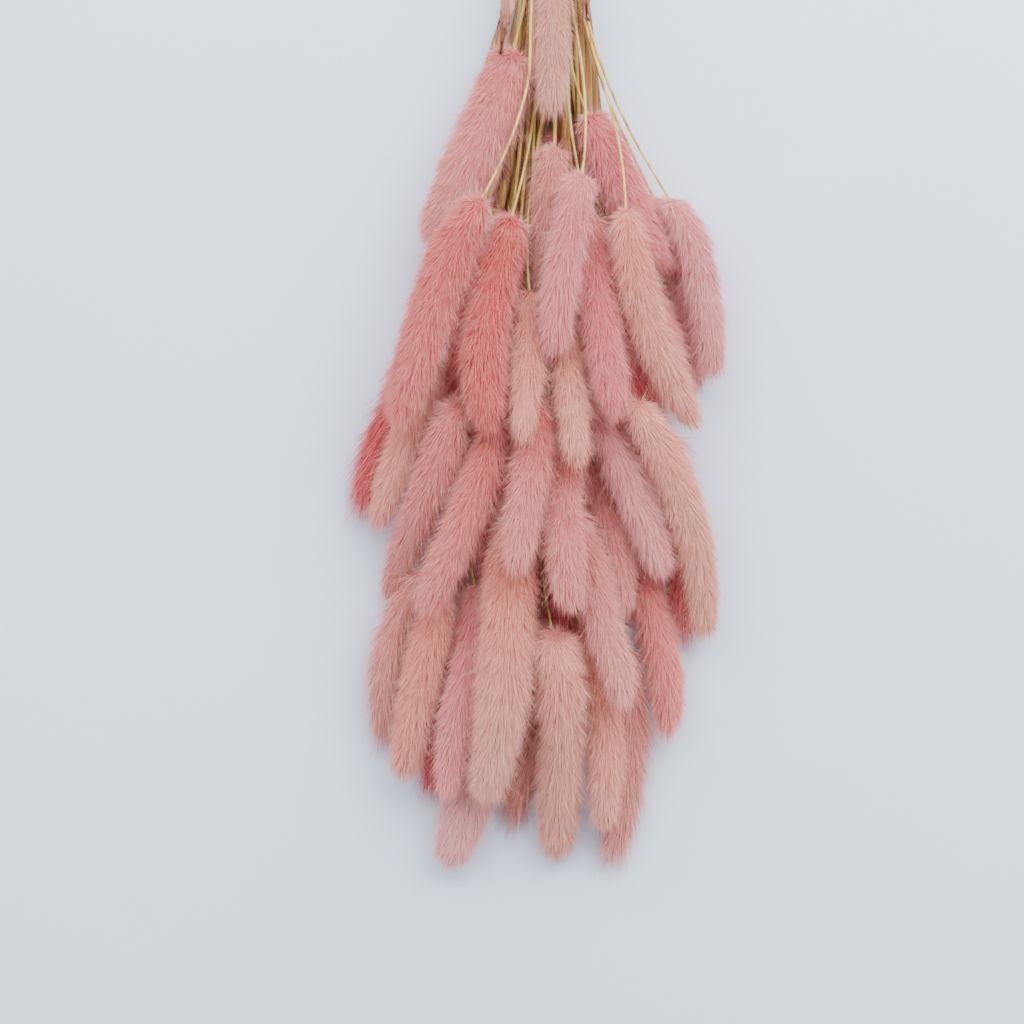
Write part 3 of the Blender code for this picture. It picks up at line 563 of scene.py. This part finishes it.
# How thick the sheaths of each row are and how brown the row is, from the surface up: the brown is
# partly the sheaths and partly painted shade on the low rows, and below nought it is painted light on the
# top ones
SHEATHS_AND_ROW_SHADES = ((1.7 * MM, 1.0), (1.4 * MM, 0.8), (0.9 * MM, 0.5), (0.12 * MM, 0.15),
           (0.0, -0.1), (-0.04 * MM, -0.3))
SHEATH_REACH = 75 * MM  # from the middle towards the heads
SHEATH_TAPER = 25 * MM
SHEATH_CLEAR = 2 * MM  # of the band
SHEATH_AND_SHADE_BROWN = -0.16  # how far down the straw's colours a row goes for its brownness, partly sheath and partly painted shade
STREAKED = 0.45  # next to the differences from stem to stem
STRAW = ((0.36, (0.22, 0.08, 0.028)), (0.48, (0.40, 0.25, 0.065)), (0.62, (0.61, 0.43, 0.13)))
band_front = frame["nodes"]["band"].bound_box[0][1]


def rounded(node, levels, fatten=None):
    """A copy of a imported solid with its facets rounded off, fattened by what suits each place."""
    shape = bmesh.new()
    shape.from_mesh(frame["nodes"][node].data)
    bmesh.ops.remove_doubles(shape, verts=shape.verts, dist=SAME_POINT)
    bmesh.ops.join_triangles(shape, faces=shape.faces, cmp_seam=False, cmp_sharp=False, cmp_uvs=False,
                             cmp_vcols=False, cmp_materials=False, angle_face_threshold=FLAT_WITHIN,
                             angle_shape_threshold=SQUARE_WITHIN)
    shape.normal_update()
    crease = shape.edges.layers.float.new("crease_edge")
    for edge in shape.edges:
        if len(edge.link_faces) == 2 and edge.calc_face_angle() > RIM_ANGLE:
            edge[crease] = 1.0
    for vert in shape.verts:
        vert.co += vert.normal * (fatten(vert.co) if fatten else 0)
        vert.co.z = max(vert.co.z, TABLE_CLEAR)
    mesh = bpy.data.meshes.new(node)
    shape.to_mesh(mesh)
    shape.free()
    mesh.materials.clear()
    piece = bpy.data.objects.new(f"{node}_fine", mesh)
    bpy.context.scene.collection.objects.link(piece)
    smooth = piece.modifiers.new("round", "SUBSURF")
    smooth.levels = smooth.render_levels = levels
    graph = bpy.context.evaluated_depsgraph_get()
    fine = bpy.data.meshes.new_from_object(piece.evaluated_get(graph))
    piece.modifiers.clear()
    piece.data = fine
    fine.shade_smooth()
    return piece


def sheathed(place):
    """The share of its full thickness that a sheath has at a place."""
    inside = min(place.y + SHEATH_REACH, band_front - place.y - SHEATH_CLEAR)
    return min(max(inside / SHEATH_TAPER, 0), 1)


def new_material(name):
    made = bpy.data.materials.new(name)
    made.use_nodes = True
    return made, made.node_tree, made.node_tree.nodes["Principled BSDF"]


def stretched_noise(tree, stretch, detail):
    """Noise in the object's own space, drawn out along one way."""
    where = add(tree, "ShaderNodeTexCoord").outputs["Object"]
    drawn = add(tree, "ShaderNodeVectorMath", {0: where, 1: stretch}, operation="MULTIPLY").outputs[0]
    return add(tree, "ShaderNodeTexNoise", {"Vector": drawn, "Scale": 1.0, "Detail": detail}).outputs[0]


def mixed(tree, share, one, other):
    return add(tree, "ShaderNodeMix", {0: share, 2: one, 3: other}, data_type="FLOAT").outputs[0]


def graded(tree, share, stops):
    """A colour ramp through the stops, each a place and a colour."""
    ramp = add(tree, "ShaderNodeValToRGB", {0: share})
    elements = ramp.color_ramp.elements
    while len(elements) < len(stops):
        elements.new(0.5)
    for element, (place, colour) in zip(elements, stops):
        element.position = place
        element.color = (*colour, 1)
    return ramp.outputs[0]


def bumped(tree, shader, height, distance):
    bump = add(tree, "ShaderNodeBump", {"Height": height, "Distance": distance})
    tree.links.new(bump.outputs[0], shader.inputs["Normal"])


def streaked_straw():
    """Dull straw with fine streaks along it, paler and browner from stem to stem, and browner on the
    low rows and paler on the top ones, partly for the sheaths and partly as painted shade and painted
    light.
    """
    made, tree, shader = new_material("streaked straw")
    stem_by_stem = stretched_noise(tree, (620, 14, 620), 2.0)
    streaks = stretched_noise(tree, (2600, 25, 2600), 2.0)
    blend = mixed(tree, STREAKED, stem_by_stem, streaks)
    # the row's brownness: partly its sheaths, partly painted shade low down and painted light on top
    brown = add(tree, "ShaderNodeAttribute", attribute_name="sheath").outputs["Fac"]
    browned_and_shaded = add(tree, "ShaderNodeMath", {0: brown, 1: SHEATH_AND_SHADE_BROWN, 2: blend}, operation="MULTIPLY_ADD")
    tree.links.new(graded(tree, browned_and_shaded.outputs[0], STRAW), shader.inputs["Base Color"])
    shader.inputs["Roughness"].default_value = 0.55
    shader.inputs["Specular IOR Level"].default_value = 0.3
    bumped(tree, shader, streaks, 0.05 * MM)
    return made


straw = streaked_straw()
for node in sorted(node for node in frame["nodes"] if node.startswith("stems_")):
    sheath, brown_and_painted_light = SHEATHS_AND_ROW_SHADES[int(node[-1]) - 1]
    piece = rounded(node, 1, lambda place: sheath * sheathed(place))
    # the row's brownness: partly its sheaths, partly painted shade low down and painted light on top
    layer = piece.data.attributes.new("sheath", "FLOAT", "POINT")
    layer.data.foreach_set("value", np.full(len(piece.data.vertices), brown_and_painted_light))
    piece.data.materials.append(straw)
    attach(piece, "root")
    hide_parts(node)


# The two leaves: thin dried blades, pinkish brown with paler veins along them. They dried crumpled
# and ragged where they are free, and their bases are held under the band with the stems.

CRUMPLE = 1.3 * MM
FINE_CRUMPLE = 0.52 * MM
RAGGED = 1.1 * MM
CRUMPLE_TAPER = 25 * MM  # from the band
FOLDS = (420, 210)  # to a metre, across and along
WRINKLES = (900, 700)
TEARS = 800
LEAF = ((0.33, (0.10, 0.03, 0.015)), (0.5, (0.24, 0.085, 0.05)), (0.66, (0.40, 0.19, 0.12)))


def crumple(piece):
    for vert in piece.data.vertices:
        x, y = vert.co.x, vert.co.y
        free = min(max((band_front - y) / CRUMPLE_TAPER, 0), 1)
        fold = noise.noise(Vector((x * FOLDS[0], y * FOLDS[1], 0)))
        wrinkle = noise.noise(Vector((x * WRINKLES[0], y * WRINKLES[1], 5)))
        vert.co.z += free * (CRUMPLE * fold + FINE_CRUMPLE * wrinkle)
        vert.co.x += RAGGED * noise.noise(Vector((0, y * TEARS, 9)))


def dry_leaf():
    made, tree, shader = new_material("crumpled leaf")
    veins = stretched_noise(tree, (2600, 90, 200), 2.0)
    blotches = stretched_noise(tree, (240, 160, 240), 3.0)
    colour = graded(tree, mixed(tree, 0.5, veins, blotches), LEAF)
    tree.links.new(colour, shader.inputs["Base Color"])
    shader.inputs["Roughness"].default_value = 0.75
    bumped(tree, shader, veins, 0.2 * MM)
    return made


leaf = dry_leaf()
for node in ("leaf_left", "leaf_right"):
    piece = rounded(node, 2)
    crumple(piece)
    piece.data.materials.append(leaf)
    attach(piece, "root")
    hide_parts(node)


# The band: tan elastic, slipped over the stems and the leaves in three turns, which press them
# together. It has fine ridges along its turns.

ELASTIC = ((0.35, (0.28, 0.14, 0.06)), (0.65, (0.46, 0.28, 0.14)))


def ridged_elastic():
    made, tree, shader = new_material("ridged elastic")
    ridges = stretched_noise(tree, (300, 4200, 300), 1.0)
    tree.links.new(graded(tree, ridges, ELASTIC), shader.inputs["Base Color"])
    shader.inputs["Roughness"].default_value = 0.6
    bumped(tree, shader, ridges, 0.08 * MM)
    return made


piece = rounded("band", 2)
piece.data.materials.append(ridged_elastic())
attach(piece, "root")
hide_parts("band")


# The table top, pale and matt, under soft daylight from all round and from two wide windows
# beyond the cut ends. The camera looks straight down on the heads, and the cut ends lie outside
# its picture.

TABLE_TOP = ((0.3, (0.615, 0.69, 0.83)), (0.7, (0.64, 0.715, 0.855)))
WINDOW_POWER = {"window": 25.0, "far window": 14.5}
WINDOW_SIDE = {"window": 0.45, "far window": -0.45}
WINDOW_SIZE = 0.9
HEADS_MIDDLE = Vector((0, -0.11, 0))


def pale_table_top():
    made, tree, shader = new_material("pale table top")
    mottle = stretched_noise(tree, (9, 9, 9), 4.0)
    tree.links.new(graded(tree, mottle, TABLE_TOP), shader.inputs["Base Color"])
    shader.inputs["Roughness"].default_value = 0.9
    return made


bpy.ops.mesh.primitive_plane_add(size=6)
floor = bpy.context.object
floor.name = "table top"
floor.data.materials.append(pale_table_top())

world = bpy.data.worlds.new("daylight")
bpy.context.scene.world = world
world.use_nodes = True
world.node_tree.nodes["Background"].inputs["Color"].default_value = (0.93, 0.96, 1.0, 1)
world.node_tree.nodes["Background"].inputs["Strength"].default_value = 1.1

for name, power in WINDOW_POWER.items():
    lamp = bpy.data.objects.new(name, bpy.data.lights.new(name, "AREA"))
    bpy.context.scene.collection.objects.link(lamp)
    lamp.data.size = WINDOW_SIZE
    lamp.data.energy = power
    lamp.location = (WINDOW_SIDE[name], 0.55, 0.75)
    lamp.rotation_euler = (HEADS_MIDDLE - lamp.location).to_track_quat("-Z", "Y").to_euler()

camera = bpy.data.objects.new("camera", bpy.data.cameras.new("camera"))
bpy.context.scene.collection.objects.link(camera)
camera.data.lens = 75
camera.data.sensor_width = 36
camera.location = (-7.3 * MM, -115.1 * MM, 617 * MM)
bpy.context.scene.camera = camera
